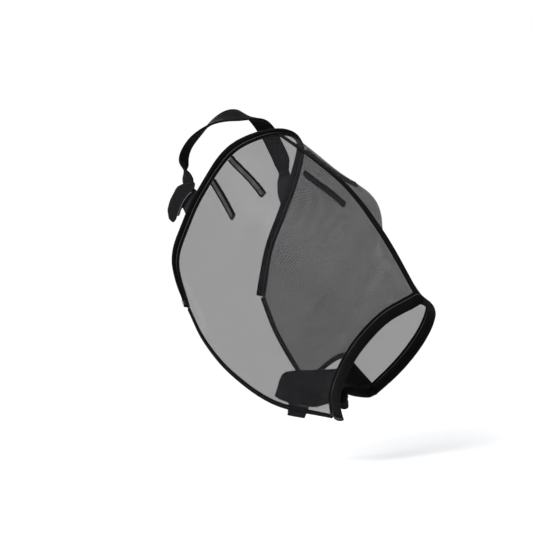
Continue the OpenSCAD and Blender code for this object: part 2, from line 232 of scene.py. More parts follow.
def cad_sheet(node, corner, first, through=THROUGH):
    """The middle surface of a thin CAD sheet as a grid, and its thickness.

    The grid starts at the corner that lies furthest along one direction, and its first row runs along
    the other."""
    points, triangles = welded(node)
    skin, thickness = one_skin(points, triangles, through)
    by_edge = edges_of(skin)
    count = {}
    for t in skin:
        for v in t:
            count[v] = count.get(v, 0) + 1
    rim = {}
    for edge, on in by_edge.items():
        if len(on) == 1:
            a, b = edge
            rim.setdefault(a, []).append(b)
            rim.setdefault(b, []).append(a)
    corners = {v for v in rim if count[v] != 3}
    start = max(corners, key=lambda v: points[v] @ np.array(corner, float))

    def side(step):
        line = [start, step]
        while line[-1] not in corners:
            line.append(next(v for v in rim[line[-1]] if v != line[-2]))
        return line

    ways = sorted(rim[start], key=lambda v: -(unit(points[v] - points[start]) @ np.array(first, float)))
    top, down = side(ways[0]), side(ways[1])
    used = set()

    def third(a, b):
        t = next(t for t in by_edge[frozenset((a, b))] if t not in used)
        used.add(t)
        return next(v for v in t if v not in (a, b))

    rows = [top]
    for first_of_row in down[1:]:
        above, row = rows[-1], [first_of_row]
        for a, b in zip(above, above[1:]):
            c = row[-1]
            d = third(a, b)
            if d == c:
                d = third(b, c)
            else:
                third(a, d)
            row.append(d)
        rows.append(row)
    skin_grid = points[np.array(rows)]
    own = {v for t in skin for v in t}
    others = points[[v for v in range(len(points)) if v not in own]]
    partners = others[nearest(skin_grid.reshape(-1, 3), others)].reshape(skin_grid.shape)
    return (skin_grid + partners) / 2, thickness


PLATE_FLAT = 0.05  # a face's corners lie this close to one plane, in mm
PLATE_END = 0.09  # how far inside its top and bottom edges a plate is first scanned, as an angle
PLATE_SOFTEN = 1.2  # rows over which a plate's corners are rounded


def cad_plate(node, rows, cols):
    """The middle surface of a flat CAD plate that faces sideways, as a grid, and its thickness.

    The face is scanned across, from its top edge down."""
    points, triangles = welded(node)
    x = points[:, 0]
    near = [t for t in triangles if np.ptp(x[list(t)]) < PLATE_FLAT and x[t[0]] < x.mean()]
    rim = [tuple(e) for e, on in edges_of(near).items() if len(on) == 1]
    along, down = points @ DOWN_FACE, points @ JAWWARD
    low, high = (f(down[v] for e in rim for v in e) for f in (min, max))
    scan = np.linspace(PLATE_END, math.pi - PLATE_END, rows)
    levels = low + (high - low) * (0.5 - 0.5 * np.cos(scan))
    sides = np.zeros((rows, 2))
    for i, level in enumerate(levels):
        hits = []
        for a, b in rim:
            if (down[a] - level) * (down[b] - level) <= 0 and abs(down[a] - down[b]) > 1e-6:
                q = (level - down[a]) / (down[b] - down[a])
                hits.append(along[a] + q * (along[b] - along[a]))
        sides[i] = min(hits), max(hits)
    sides = smoothed(sides, PLATE_SOFTEN)
    share = np.linspace(0, 1, cols)
    across = sides[:, :1] * (1 - share) + sides[:, 1:] * share
    grid = across[..., None] * DOWN_FACE + levels[:, None, None] * JAWWARD + x.mean() * LEFTWARD
    return grid, np.ptp(x)


# ---- Making pieces ----
def new_piece(name, points, faces, uv, material, body, stands_for=(), uv_faces=None):
    """A mesh object, in metres, that rides on a CAD body. The UVs are in millimetres of cloth."""
    mesh = bpy.data.meshes.new(name)
    mesh.from_pydata((np.asarray(points).reshape(-1, 3) * MM).tolist(), [], faces)
    layer = mesh.uv_layers.new(name="cloth")
    index = np.concatenate([np.asarray(f) for f in (uv_faces or faces)])
    layer.data.foreach_set("uv", np.asarray(uv, float)[index].ravel())
    mesh.polygons.foreach_set("use_smooth", [True] * len(mesh.polygons))
    bm = bmesh.new()
    bm.from_mesh(mesh)
    bmesh.ops.recalc_face_normals(bm, faces=bm.faces)
    bm.to_mesh(mesh)
    bm.free()
    mesh.materials.append(material)
    piece = bpy.data.objects.new(name, mesh)
    bpy.context.scene.collection.objects.link(piece)
    if body:
        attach(piece, body)
    if stands_for:
        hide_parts(*stands_for)
    return piece


def quads(index):
    """The four-sided faces between the rows and columns of a grid of point numbers."""
    faces = np.stack([index[:-1, :-1], index[1:, :-1], index[1:, 1:], index[:-1, 1:]], axis=-1)
    return faces.reshape(-1, 4)


def sheet_faces(rows, cols):
    """Faces of a closed sheet whose outer skin's points come first, then its inner skin's."""
    base = rows * cols
    index = np.arange(base).reshape(rows, cols)
    outer = quads(index)[:, [0, 3, 2, 1]]
    loop = np.concatenate([index[0], index[1:, -1], index[-1, -2::-1], index[-2:0:-1, 0]])
    onward = np.roll(loop, -1)
    rim = np.stack([loop, onward, onward + base, loop + base], axis=-1)
    return np.concatenate([outer, (outer + base)[:, ::-1], rim]).tolist()


SHEET_RIM = 0.06  # squared share of a sheet's thickness that is left at its rim
TUBE_END = 0.02  # and of a tube's ring at its ends


def sheet_piece(name, grid, thickness, material, body, stands_for=(), rim=0.0, swell=None):
    """A closed sheet of fabric round a grid of points. Its rim is rounded over the given distance, and swell
    is a height added to both skins."""
    n = outward_normals(grid)
    half = np.full(grid.shape[:2], thickness / 2)
    down = lengths(grid)
    across = lengths(np.swapaxes(grid, 0, 1)).T
    if rim:
        edge = np.minimum(np.minimum(down, down[-1:] - down), np.minimum(across, across[:, -1:] - across))
        inside = np.clip(edge / rim, 0, 1)
        half = half * np.sqrt(np.clip(1 - (1 - inside) ** 2, SHEET_RIM, 1))
    if swell is not None:
        half = half + swell
    skins = [grid + n * half[..., None], grid - n * half[..., None]]
    uv = np.tile(np.stack([down, across], axis=-1).reshape(-1, 2), (2, 1))
    faces = sheet_faces(*grid.shape[:2])
    return new_piece(name, np.stack(skins), faces, uv, material, body, stands_for)


def tube_piece(name, centre, across, out, ring_across, ring_out, material, body,
               stands_for=(), cap=2.0):
    """A closed tube. Each station has a ring of offsets along its own two directions, and both ends are
    rounded over the cap's length."""
    travelled = lengths(centre)
    left = np.minimum(travelled, travelled[-1] - travelled)
    share = np.sqrt(np.clip(1 - (1 - np.clip(left / cap, 0, 1)) ** 2, TUBE_END, 1))[:, None]
    middle_a = ring_across.mean(axis=1, keepdims=True)
    middle_o = ring_out.mean(axis=1, keepdims=True)
    a = middle_a + (ring_across - middle_a) * share
    o = middle_o + (ring_out - middle_o) * share
    points = centre[:, None] + a[..., None] * across[:, None] + o[..., None] * out[:, None]
    stations, ring = a.shape
    index = np.arange(stations * ring).reshape(stations, ring)
    uv_index = np.arange(stations * (ring + 1)).reshape(stations, ring + 1)
    faces = quads(np.concatenate([index, index[:, :1]], axis=1)).tolist()
    uv_faces = quads(uv_index).tolist()
    closed = np.concatenate([points, points[:, :1]], axis=1)
    round_ring = lengths(closed[stations // 2])
    uv = np.stack(np.broadcast_arrays(travelled[:, None], round_ring[None]), axis=-1).reshape(-1, 2)
    for end in (0, -1):
        faces.append(index[end].tolist())
        uv_faces.append(uv_index[end, :-1].tolist())
    return new_piece(name, points, faces, uv, material, body, stands_for, uv_faces)


STITCH_SIDES = 6
STITCH_PLACES = (-1.0, -0.8, -0.3, 0.3, 0.8, 1.0)
STITCH_WIDTHS = (0.25, 0.75, 1.0, 1.0, 0.75, 0.25)
STITCH_SQUASH = 0.8  # height of a stitch as a share of its width


def stitch_piece(name, line, normals, material, body, slot, pitch=4.0, length=3.0, radius=0.38, slant=0.0):
    """A row of separate stitches along a line of points, lying on the surface."""
    travelled = lengths(line)
    places = np.arange(pitch, travelled[-1] - pitch / 2, pitch)
    at = spaced(places, travelled, line)
    t = unit(spaced(places, travelled, np.gradient(line, axis=0)))
    n = unit(spaced(places, travelled, normals))
    side = unit(np.cross(n, t))
    t = unit(t + slant * side)
    side = unit(np.cross(n, t))
    angle = circle(STITCH_SIDES)
    rings = []
    for place, width in zip(STITCH_PLACES, STITCH_WIDTHS):
        sag = radius * 0.5 * place**2
        middle = at + t * (place * length / 2) - n * sag
        wheel = np.cos(angle)[:, None, None] * side + np.sin(angle)[:, None, None] * n * STITCH_SQUASH
        rings.append(middle + radius * width * wheel)
    points = np.transpose(np.array(rings), (2, 0, 1, 3))
    faces = []
    for stitch in np.arange(points.size // 3).reshape(points.shape[:3]):
        faces += quads(np.concatenate([stitch, stitch[:, :1]], axis=1))[:, [0, 3, 2, 1]].tolist()
        faces += stitch[[0, -1]].tolist()
    uv = np.zeros((points.size // 3, 2))
    return new_piece(name, points, faces, uv, material, body)


# ---- Materials ----
SHEEN_TINT = (0.25, 0.24, 0.26, 1.0)


class Fabric:
    """A node material whose patterns are laid out in millimetres of cloth."""

    def __init__(self, name):
        self.material = bpy.data.materials.new(name)
        self.material.use_nodes = True
        self.tree = self.material.node_tree
        self.tree.nodes.clear()
        self.output = self.add("ShaderNodeOutputMaterial")
        self.skin = self.add("ShaderNodeBsdfPrincipled")
        self.join(self.skin.outputs["BSDF"], self.output.inputs["Surface"])
        cloth = self.add("ShaderNodeUVMap")
        cloth.uv_map = "cloth"
        self.cloth = cloth.outputs["UV"]
        split = self.add("ShaderNodeSeparateXYZ")
        self.join(self.cloth, split.inputs[0])
        self.u, self.v = split.outputs["X"], split.outputs["Y"]

    def add(self, kind):
        return self.tree.nodes.new(kind)

    def join(self, source, target):
        self.tree.links.new(source, target)

    def put(self, value, socket):
        if isinstance(value, (int, float)):
            socket.default_value = value
        else:
            self.join(value, socket)

    def math(self, operation, a, b=0.0, c=0.0):
        node = self.add("ShaderNodeMath")
        node.operation = operation
        for value, socket in zip((a, b, c), node.inputs):
            self.put(value, socket)
        return node.outputs[0]

    def ridges(self, along, pitch, phase=0.0):
        """Rounded ridges from 0 to 1, one in each pitch."""
        turn = self.math("MULTIPLY_ADD", along, 2 * math.pi / pitch, phase)
        return self.math("MULTIPLY_ADD", self.math("COSINE", turn), -0.5, 0.5)

    def noise(self, size, detail=2.0):
        """Noise with lumps of about the given size in millimetres."""
        node = self.add("ShaderNodeTexNoise")
        self.join(self.cloth, node.inputs["Vector"])
        node.inputs["Scale"].default_value = 1 / size
        node.inputs["Detail"].default_value = detail
        return node.outputs["Fac"]

    def blend(self, share, a, b):
        node = self.add("ShaderNodeMix")
        node.data_type = "RGBA"
        self.put(share, node.inputs["Factor"])
        for value, socket in ((a, node.inputs["A"]), (b, node.inputs["B"])):
            if isinstance(value, tuple):
                socket.default_value = value + (1.0,)
            else:
                self.join(value, socket)
        return node.outputs["Result"]

    def ramp(self, value, low, high):
        node = self.add("ShaderNodeMapRange")
        node.interpolation_type = "SMOOTHSTEP"
        self.join(value, node.inputs["Value"])
        node.inputs["From Min"].default_value = low
        node.inputs["From Max"].default_value = high
        return node.outputs["Result"]

    def bump(self, height, depth_mm):
        node = self.add("ShaderNodeBump")
        node.inputs["Distance"].default_value = depth_mm * MM
        node.inputs["Strength"].default_value = 1.0
        self.join(height, node.inputs["Height"])
        self.join(node.outputs["Normal"], self.skin.inputs["Normal"])

    def finish(self, colour, roughness, sheen=0.0, sheen_roughness=0.4, specular=0.3):
        self.put(roughness, self.skin.inputs["Roughness"])
        self.join(colour, self.skin.inputs["Base Color"])
        self.skin.inputs["Sheen Weight"].default_value = sheen
        self.skin.inputs["Sheen Tint"].default_value = SHEEN_TINT
        self.skin.inputs["Sheen Roughness"].default_value = sheen_roughness
        self.skin.inputs["Specular IOR Level"].default_value = specular
        return self.material


MESH_PITCH = 1.7  # mm from strand to strand
STRAND_CLEAR = 0.30  # share of light that passes a strand, and then a hole
HOLE_CLEAR = 0.77
HOLE_RIM = (0.05, 0.25)  # where a hole's soft rim starts and ends on the strands' ridges
MESH_DARK = (0.008, 0.0075, 0.009)
MESH_LIGHT = (0.017, 0.0155, 0.018)


def mesh_material():
    """Coated open mesh: round strands with square holes between them."""
    f = Fabric("open_mesh")
    across = f.ridges(f.u, MESH_PITCH)
    along = f.ridges(f.v, MESH_PITCH)
    hole = f.ramp(f.math("MINIMUM", across, along), *HOLE_RIM)
    open_share = f.math("MULTIPLY_ADD", hole, HOLE_CLEAR - STRAND_CLEAR, STRAND_CLEAR)
    strands = f.math("MULTIPLY", f.math("SUBTRACT", 1.0, across), f.math("SUBTRACT", 1.0, along))
    colour = f.blend(f.noise(60.0), MESH_DARK, MESH_LIGHT)
    f.bump(strands, 0.25)
    f.finish(colour, 0.65, sheen=0.01, specular=0.06)
    clear = f.add("ShaderNodeBsdfTransparent")
    mixed = f.add("ShaderNodeMixShader")
    f.join(open_share, mixed.inputs[0])
    f.join(f.skin.outputs["BSDF"], mixed.inputs[1])
    f.join(clear.outputs[0], mixed.inputs[2])
    f.join(mixed.outputs[0], f.output.inputs["Surface"])
    return f.material


def twill_material(name, dark, light, pitch, depth, roughness=0.75, sheen=0.02):
    """Close fabric with fine diagonal ribs."""
    f = Fabric(name)
    slanted = f.math("ADD", f.u, f.v)
    ribs = f.ridges(slanted, pitch)
    cross = f.ridges(f.math("SUBTRACT", f.u, f.v), pitch * 0.5)
    height = f.math("MULTIPLY_ADD", cross, 0.35, ribs)
    patchy = f.noise(14.0, 4.0)
    tone = f.math("MULTIPLY_ADD", ribs, 0.5, f.math("MULTIPLY", patchy, 0.6))
    f.bump(height, depth)
    return f.finish(f.blend(tone, dark, light), roughness, sheen, specular=0.03)


def napped_material(name, dark, light, lump, depth, sheen=0.03):
    """Brushed fabric with a soft nap."""
    f = Fabric(name)
    fuzz = f.noise(lump, 6.0)
    broad = f.noise(22.0, 2.0)
    tone = f.math("MULTIPLY_ADD", fuzz, 0.7, f.math("MULTIPLY", broad, 0.4))
    f.bump(fuzz, depth)
    return f.finish(f.blend(f.ramp(tone, 0.3, 0.8), dark, light), 0.95, sheen, 0.5, 0.06)


def pile_material(name, dark, light, pitch, depth):
    """Hook or loop faces: a field of small knots."""
    f = Fabric(name)
    knots = f.math("MULTIPLY", f.ridges(f.u, pitch), f.ridges(f.v, pitch, 1.1))
    fuzz = f.noise(pitch * 0.4, 4.0)
    height = f.math("MULTIPLY_ADD", fuzz, 0.6, knots)
    f.bump(height, depth)
    return f.finish(f.blend(height, dark, light), 0.9, 0.03, specular=0.06)


def foam_material():
    f = Fabric("foam")
    cells = f.noise(0.8, 6.0)
    f.bump(cells, 0.4)
    return f.finish(f.blend(cells, (0.14, 0.14, 0.15), (0.28, 0.28, 0.3)), 0.95, 0.1)


def thread_material(name, dark, light):
    f = Fabric(name)
    f.bump(f.noise(0.5), 0.1)
    return f.finish(f.blend(f.noise(5.0), dark, light), 0.5, 0.02, specular=0.2)


open_mesh = mesh_material()
roll_cloth = twill_material("roll_cloth", (0.0005, 0.0005, 0.0006), (0.004, 0.0036, 0.0036), 1.6, 0.2)
edge_cloth = twill_material("edge_cloth", (0.001, 0.001, 0.001), (0.005, 0.005, 0.0055), 3.2, 0.4)
cord_cloth = twill_material("cord_cloth", (0.001, 0.001, 0.001), (0.005, 0.005, 0.005), 2.6, 0.4)
# Pale cloth for the strips that paint the highlight line along the flap's piping.
piping_highlight_cloth = twill_material("piping_highlight_cloth", (0.03, 0.03, 0.031), (0.14, 0.14, 0.145), 2.2, 0.3)
strap_cloth = twill_material("strap_cloth", (0.0035, 0.0035, 0.004), (0.014, 0.014, 0.015), 2.0, 0.25, 0.85)
tab_cloth = napped_material("tab_cloth", (0.009, 0.009, 0.009), (0.030, 0.029, 0.030), 1.6, 0.2)
lining_cloth = napped_material("lining_cloth", (0.0008, 0.0008, 0.0008), (0.003, 0.003, 0.003), 1.8, 0.2)
flap_cloth = twill_material("flap_cloth", (0.0006, 0.0006, 0.0006), (0.0035, 0.0032, 0.0035), 2.2, 0.2)
tuck_cloth = napped_material("tuck_cloth", (0.002, 0.002, 0.002), (0.09, 0.088, 0.094), 1.5, 0.5)
hook_pile = pile_material("hook_pile", (0.0015, 0.0015, 0.0015), (0.012, 0.012, 0.012), 1.6, 0.5)
loop_pile = pile_material("loop_pile", (0.003, 0.003, 0.003), (0.018, 0.018, 0.018), 2.4, 0.5)
foam = foam_material()
thread = thread_material("thread", (0.006, 0.006, 0.007), (0.020, 0.020, 0.022))
# Pale thread: the stitches' own paler colour, also used to paint the thin highlight line along the noseband's
# groove.
pale_thread_and_highlight = thread_material("pale_thread_and_highlight", (0.05, 0.05, 0.052), (0.13, 0.128, 0.134))

# ---- Mesh panels ----
FINE = 121
SIDES = {"right": -1, "left": 1}
CLOTH_T = 0.6
RIPPLE = 0.5


def mesh_grid(side):
    corner = (-10 * SIDES[side], 0, 1)
    return cad_sheet(f"mesh_panel_{side}", corner, (SIDES[side], 0, 0))[0]


panel = {side: refine(mesh_grid(side), FINE, FINE) for side in SIDES}
panel_out = {side: outward_normals(panel[side]) for side in SIDES}


def rim_free(rows, cols, share=0.12):
    """1 inside a grid, falling to 0 at its rim."""
    def fade(count):
        t = np.linspace(0, 1, count)
        q = np.clip(np.minimum(t, 1 - t) / share, 0, 1)
        return q * q * (3 - 2 * q)
    return fade(rows)[:, None] * fade(cols)[None]


def build_mesh(side):
    """The mesh hangs in slack ripples between its sewn edges."""
    seed = 11 + SIDES[side]
    slack = wander_grid((FINE, FINE), (14, 5), seed) + 0.5 * wander_grid((FINE, FINE), (4, 9), seed + 5)
    grid = panel[side] + panel_out[side] * (RIPPLE * slack * rim_free(FINE, FINE))[..., None]
    sheet_piece(f"mesh_{side}", grid, CLOTH_T, open_mesh, "mask", (f"mesh_panel_{side}",))


# ---- Bindings ----
def edge_of(side, which):
    """Points, outward normals and directions away from the mesh, along one edge of a panel."""
    g, n = panel[side], panel_out[side]
    if which == "poll":
        return g[0], n[0], g[0] - g[2]
    if which == "nose":
        return g[-1], n[-1], g[-1] - g[-3]
    return g[:, -1], n[:, -1], g[:, -1] - g[:, -3]


def whole_edge(which):
    """The right half's edge from the jaw to the centre line, then the left half's back to the jaw."""
    pairs = zip(edge_of("right", which), edge_of("left", which))
    return [np.concatenate([r[::-1], l]) for r, l in pairs]


def stations(points, out, away, spacing, round_off, trim=(0.0, 0.0)):
    """Even stations along an edge: points, directions away from the mesh, and directions out of it."""
    travelled = lengths(points)
    at = np.arange(trim[0], travelled[-1] - trim[1], spacing)
    rows = points, unit(out), unit(away)
    centre, out, away = (smoothed(spaced(at, travelled, row), round_off / spacing) for row in rows)
    tangent = unit(np.gradient(centre, axis=0))
    away = unit(without(away, tangent))
    return centre, away, unit(without(without(out, tangent), away))


def closed_ring(upper, count=44):
    """A smooth closed ring from the upper half of a profile, mirrored below, as [across, out] points."""
    upper = np.array(upper, float)
    lower = (upper * [1, -1])[::-1]
    ring = np.concatenate([upper, lower[lower[:, 1] < -1e-6]])
    closed = np.concatenate([ring[-1:], ring, ring[:2]])
    dense = resample(closed, np.linspace(1, len(ring) + 1, 8 * count, endpoint=False))
    loop = np.concatenate([dense, dense[:1]])
    travelled = lengths(loop)
    return spaced(np.linspace(0, travelled[-1], count, endpoint=False), travelled, loop)


STITCH_PITCH = 4.0
PINCH_DEPTH = 0.22
PINCH_REACH = 2.2  # how far a stitch's pinch is felt on each side of its groove


def puckered(ring, centre, seed, depth, groove_at):
    """A ring repeated at every station, pinched at each stitch and a little uneven along its length."""
    count = len(centre)
    pinch = 0.5 + 0.5 * np.cos(turns(centre, STITCH_PITCH))
    near = np.exp(-(((ring[:, 0] - groove_at) / PINCH_REACH) ** 2))
    lumpy = 1 + depth * wander(count, 9, seed)[:, None] + 0.6 * depth * wander(count, 3, seed + 1)[:, None]
    across = np.tile(ring[:, 0], (count, 1))
    out = ring[:, 1] * lumpy - np.sign(ring[:, 1]) * PINCH_DEPTH * pinch * near
    return across, out


LEG = 5.0
LEG_H = 1.55
RIDGE_AT = -3.0
RIDGE_HALF_W = 2.1
RIDGE_H = 2.5
GROOVE_AT = -0.1
GROOVE_H = 1.15
SEWN_TO = 1.6  # a roll's cloth is held by its stitches from the mesh side as far as this
END_BARS = (6.5, 10.5)  # how far each row of closing stitches lies from the end of a roll
END_BAR_LIFT = 0.7
CROWN_FROM = 0.3  # the closing stitches follow the part of the ring that lies above this height
END_BAR = (2.6, 2.1, 0.6)  # pitch, length and radius of the closing stitches


def roll_ring(width, height):
    """A sewn leg over the mesh, a groove, then a fat padded roll."""
    return closed_ring([
        (-LEG, 0.0), (-LEG + 0.2, LEG_H * 0.8), (-LEG * 0.6, LEG_H), (-1.6, LEG_H * 0.95),
        (-0.2, 0.75), (0.9, 1.3),
        (2.4, height * 0.82), (width * 0.36, height), (width * 0.62, height * 0.97),
        (width * 0.85, height * 0.66), (width * 0.98, height * 0.22), (width, 0.0),
    ])


ROLL_SWELL = 0.8  # furthest that a point of a roll may move
PRESSURE = 3.0
PUFF_FRAMES = 15
CORE_SHARE = 0.55  # of a roll's width and height that its foam core fills


def swollen(piece, pinned):
    """Puffs a padded piece up by cloth simulation. The pinned points are held."""
    before = np.array([v.co for v in piece.data.vertices])
    group = piece.vertex_groups.new(name="sewn")
    group.add([int(k) for k in np.flatnonzero(pinned)], 1.0, "REPLACE")
    cloth = piece.modifiers.new("cloth", "CLOTH")
    cloth.settings.vertex_group_mass = "sewn"
    cloth.settings.use_pressure = True
    cloth.settings.uniform_pressure_force = PRESSURE
    cloth.settings.shrink_min = -0.05
    cloth.settings.effector_weights.gravity = 0.0
    cloth.settings.tension_stiffness = 12
    cloth.settings.bending_stiffness = 0.3
    scene = bpy.context.scene
    for number in range(1, PUFF_FRAMES + 1):
        scene.frame_set(number)
    posed = piece.evaluated_get(bpy.context.evaluated_depsgraph_get())
    after = np.array([v.co for v in posed.data.vertices])
    piece.modifiers.remove(cloth)
    piece.vertex_groups.remove(group)
    scene.frame_set(1)
    move = after - before
    far = np.linalg.norm(move, axis=1, keepdims=True)
    move *= np.minimum(1, ROLL_SWELL * MM / np.maximum(far, 1e-9))
    piece.data.vertices.foreach_set("co", (before + move).ravel())
    piece.data.update()


def foam_core(name, centre, away, out, width, height, body, node):
    """The foam inside a padded roll."""
    angle = circle(16)
    uneven = 1 + 0.03 * wander(len(centre), 6, 97)[:, None]
    across = width / 2 + CORE_SHARE * width / 2 * np.cos(angle) * uneven
    rise = CORE_SHARE * height * np.sin(angle) * uneven
    tube_piece(name, centre, away, out, across, rise, foam, body, (node,))


def padded_edge(name, which, node, width, height, seed, round_off):
    """The padded roll round an edge, with a ridge on the mesh side and stitches in the groove between."""
    centre, away, out = stations(*whole_edge(which), 1.0, round_off)
    ring = roll_ring(width, height)
    across, rise = puckered(ring, centre, seed, 0.05, -0.2)
    foam_core(f"{name}_foam", centre, away, out, width, height, "mask", f"{name}_padding")
    piece = tube_piece(name, centre, away, out, across, rise, roll_cloth, "mask", (node,))
    swollen(piece, np.tile(ring[:, 0] < SEWN_TO, len(centre)))
    angle = circle(20)
    ribs = 1 + 0.05 * np.cos(turns(centre, STITCH_PITCH))
    tube_piece(f"{name}_ridge", centre, away, out, RIDGE_HALF_W * np.cos(angle) * ribs + RIDGE_AT,
               RIDGE_H * np.sin(angle) * ribs, edge_cloth, "mask", (), 1.5)
    # The pale stitches in the groove also paint the thin highlight line that runs along it.
    for label, face in (("outer", 1), ("inner", -1)):
        line = centre + GROOVE_AT * away + face * GROOVE_H * out
        stitch_piece(f"{name}_stitches_{label}", line, face * out, pale_thread_and_highlight, "mask", "binding",
                     STITCH_PITCH, length=3.3, radius=0.5)
    crown = ring[ring[:, 1] > CROWN_FROM]
    crown = crown[crown[:, 0].argsort()]
    travelled = lengths(centre)
    for label, place in enumerate((*END_BARS, *(travelled[-1] - np.array(END_BARS)))):
        station = int(np.searchsorted(travelled, place))
        bar = centre[station] + crown[:, :1] * away[station] + (crown[:, 1:] + END_BAR_LIFT) * out[station]
        up = np.tile(out[station], (len(bar), 1))
        stitch_piece(f"{name}_end_bar_{label}", bar, up, pale_thread_and_highlight, "mask", "binding", *END_BAR)
    return centre, away, out


def node_reach(node, centre, directions):
    """How far a CAD node reaches from a line, along each line point's own direction."""
    points, _ = welded(node)
    at = nearest(points, centre[::4]) * 4
    return np.percentile(np.sum((points - centre[at]) * directions[at], axis=-1), 99)


def build_padded_edges():
    for name, which, node, seed, round_off in (
        ("poll_edge", "poll", "poll_edge_binding", 21, 5.0),
        ("noseband", "nose", "noseband_cover", 31, 2.6),
    ):
        centre, away, out = stations(*whole_edge(which), 2.0, round_off)
        width = node_reach(node, centre, away)
        height = node_reach(node, centre, out) - ROLL_SWELL / 2
        made = padded_edge(name, which, node, width, height, seed, round_off)
    return made


def run_on(line, share=0.9):
    """A row of points carried on a little way beyond both ends."""
    start = line[0] + share * (line[0] - line[1])
    end = line[-1] + share * (line[-1] - line[-2])
    return np.concatenate([[start], line, [end]])


JAW_PROFILE = ((-5.0, 0.0), (-4.8, 1.5), (-2.6, 1.9), (0.4, 1.95), (2.4, 1.5), (3.3, 0.5), (3.4, 0.0))
JAW_RIB_H = 0.10
JAW_RIB_PITCH = 3.2
JAW_SEAM = (3.4, 1.85)  # how far the stitches lie on to the mesh, and above it
JAW_NEAR = 2.5  # the strip ends where its line leaves the CAD strip's box by more than this


def build_jaw_edges():
    """A plain ribbed strip folded over each jaw edge."""
    ring = closed_ring(JAW_PROFILE, 32)
    for side in SIDES:
        node = f"jaw_binding_{side}"
        low, high = (np.array(c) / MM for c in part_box(node))
        points, out, away = edge_of(side, "jaw")
        inside = np.all((points > low - JAW_NEAR) & (points < high + JAW_NEAR), axis=1)
        last = np.flatnonzero(inside).max() + 1
        points, out, away = run_on(points[:last]), run_on(out[:last]), run_on(away[:last])
        centre, away, out = stations(points, out, away, 0.8, 3.0)
        across, rise = puckered(ring, centre, 41 + SIDES[side], 0.04, -4.0)
        slanted = lengths(centre)[:, None] + ring[None, :, 0] * 1.2
        rise = rise + np.sign(rise) * JAW_RIB_H * np.cos(slanted * 2 * math.pi / JAW_RIB_PITCH)
        tube_piece(f"jaw_edge_{side}", centre, away, out, across, rise, edge_cloth, "mask",
                   (node,))
        for face, label in ((1, "outer"), (-1, "inner")):
            line = centre - JAW_SEAM[0] * away + face * JAW_SEAM[1] * out
            stitch_piece(f"jaw_stitches_{side}_{label}", line, face * out, thread, "mask", "binding",
                         pitch=3.4, length=2.5, radius=0.33)


# ---- Seam tape and darts ----
TAPE_TUCK = 0.02  # share of the tape's length that runs on under each binding


def build_seam():
    grid, thickness = cad_sheet("centre_seam_tape", (-1, 0, 10), (1, 0, 0), THROUGH_FOLD)
    smooth = refine(grid, np.linspace(-TAPE_TUCK, 1 + TAPE_TUCK, 200), 13)
    sheet_piece("seam_tape", smooth, thickness, edge_cloth, "mask", ("centre_seam_tape",), 0.7)


TUCK_LEAD = 5.0  # how far a dart runs on under the poll roll
TUCK_NEAR = 7.0  # the line passes through the middle of the points that lie this near along it
TUCK_END = 2.0  # and it runs straight on from this far inside each end


def surface_line(side, node):
    """The line of a dart on its panel: points and outward normals, from the poll edge towards the eye."""
    points, _ = welded(node)
    middle = points.mean(axis=0)
    axis = np.linalg.svd(points - middle)[2][0]
    axis = axis if axis @ DOWN_FACE > 0 else -axis
    reach = (points - middle) @ axis
    at = np.linspace(reach.min() - TUCK_LEAD, reach.max(), 120)
    flat, normals = panel[side].reshape(-1, 3), panel_out[side].reshape(-1, 3)
    line = np.zeros((len(at), 3))
    for k, r in enumerate(at):
        held = np.clip(r, reach.min() + TUCK_END, reach.max() - TUCK_END)
        near = np.abs(reach - held) < TUCK_NEAR
        line[k] = points[near].mean(axis=0) + (r - reach[near].mean()) * axis
    under = nearest(line, flat)
    out = unit(smoothed(normals[under], 8))
    drop = np.sum((line - flat[under]) * out, axis=-1, keepdims=True)
    return line - out * smoothed(drop, 6), out


DART_LIFT = 1.1  # from the mesh to the strip's middle
CORDS = {"crown": (1, 1.75), "jaw": (-1, 1.0)}  # side and radius of the cord along each edge of a dart
CORD_PITCH = 3.6
BAR_ROWS = {"a": 3, "b": 8}  # stations back from a dart's end to each bar


def build_dart(side, level):
    """A tuck closed by a speckled strip, with a thick cord down one edge, a thin one down the other and two
    bars of stitches across its squared end."""
    node = f"dart_{side}_{level}"
    name = f"tuck_{side}_{level}"
    line, out = surface_line(side, node)
    away = np.cross(np.gradient(line, axis=0), out)
    away = away if away.mean(axis=0) @ JAWWARD < 0 else -away
    centre, away, out = stations(line, out, away, 0.6, 2.0)
    half = node_reach(node, centre, away)
    top = node_reach(node, centre, out)
    rise = top - DART_LIFT
    ring = closed_ring([(-half, 0.0), (-half, 0.4), (-half * 0.8, rise * 0.6), (-half * 0.3, rise * 0.85),
                        (half * 0.3, rise * 0.85), (half * 0.8, rise * 0.6), (half, 0.4), (half, 0.0)], 36)
    ring[:, 1] *= np.where(ring[:, 1] < 0, DART_LIFT / rise, 1)
    lumps = 1 + 0.08 * wander(len(centre), 3, 51)[:, None]
    across = np.tile(ring[:, 0], (len(centre), 1))
    tube_piece(name, centre, away, out, across, ring[:, 1] * lumps + DART_LIFT, tuck_cloth, "mask",
               (node,), 1.0)
    angle = circle(12)
    for edge, (way, radius) in CORDS.items():
        cord = radius * (1 + 0.12 * np.cos(2 * angle[None] + turns(centre, CORD_PITCH)))
        ring_a = cord * np.cos(angle) + way * (half - radius)
        ring_o = cord * np.sin(angle) + top - radius
        tube_piece(f"{name}_cord_{edge}", centre, away, out, ring_a, ring_o, cord_cloth, "mask",
                   (), 1.0)
    for row, back in BAR_ROWS.items():
        bar = centre[-back] + np.linspace(-half, half, 16)[:, None] * away[-back] + (top - 0.4) * out[-back]
        up = np.tile(out[-back], (16, 1))
        stitch_piece(f"{name}_bar_{row}", bar, up, thread, "mask", "binding",
                     pitch=1.1, length=2.4, radius=0.42, slant=4.0)


# ---- Poll strap ----
RIM_STEPS = np.array([0, 0.12, 0.35, 0.65, 1.0])


def even_border(length, rim, count):
    """Places from 0 to 1 along a length, with extra ones near both ends so that a rounded rim shows."""
    near = RIM_STEPS * rim / length
    inner = np.linspace(near[-1], 1 - near[-1], count)[1:-1]
    return np.concatenate([near, inner, (1 - near)[::-1]])


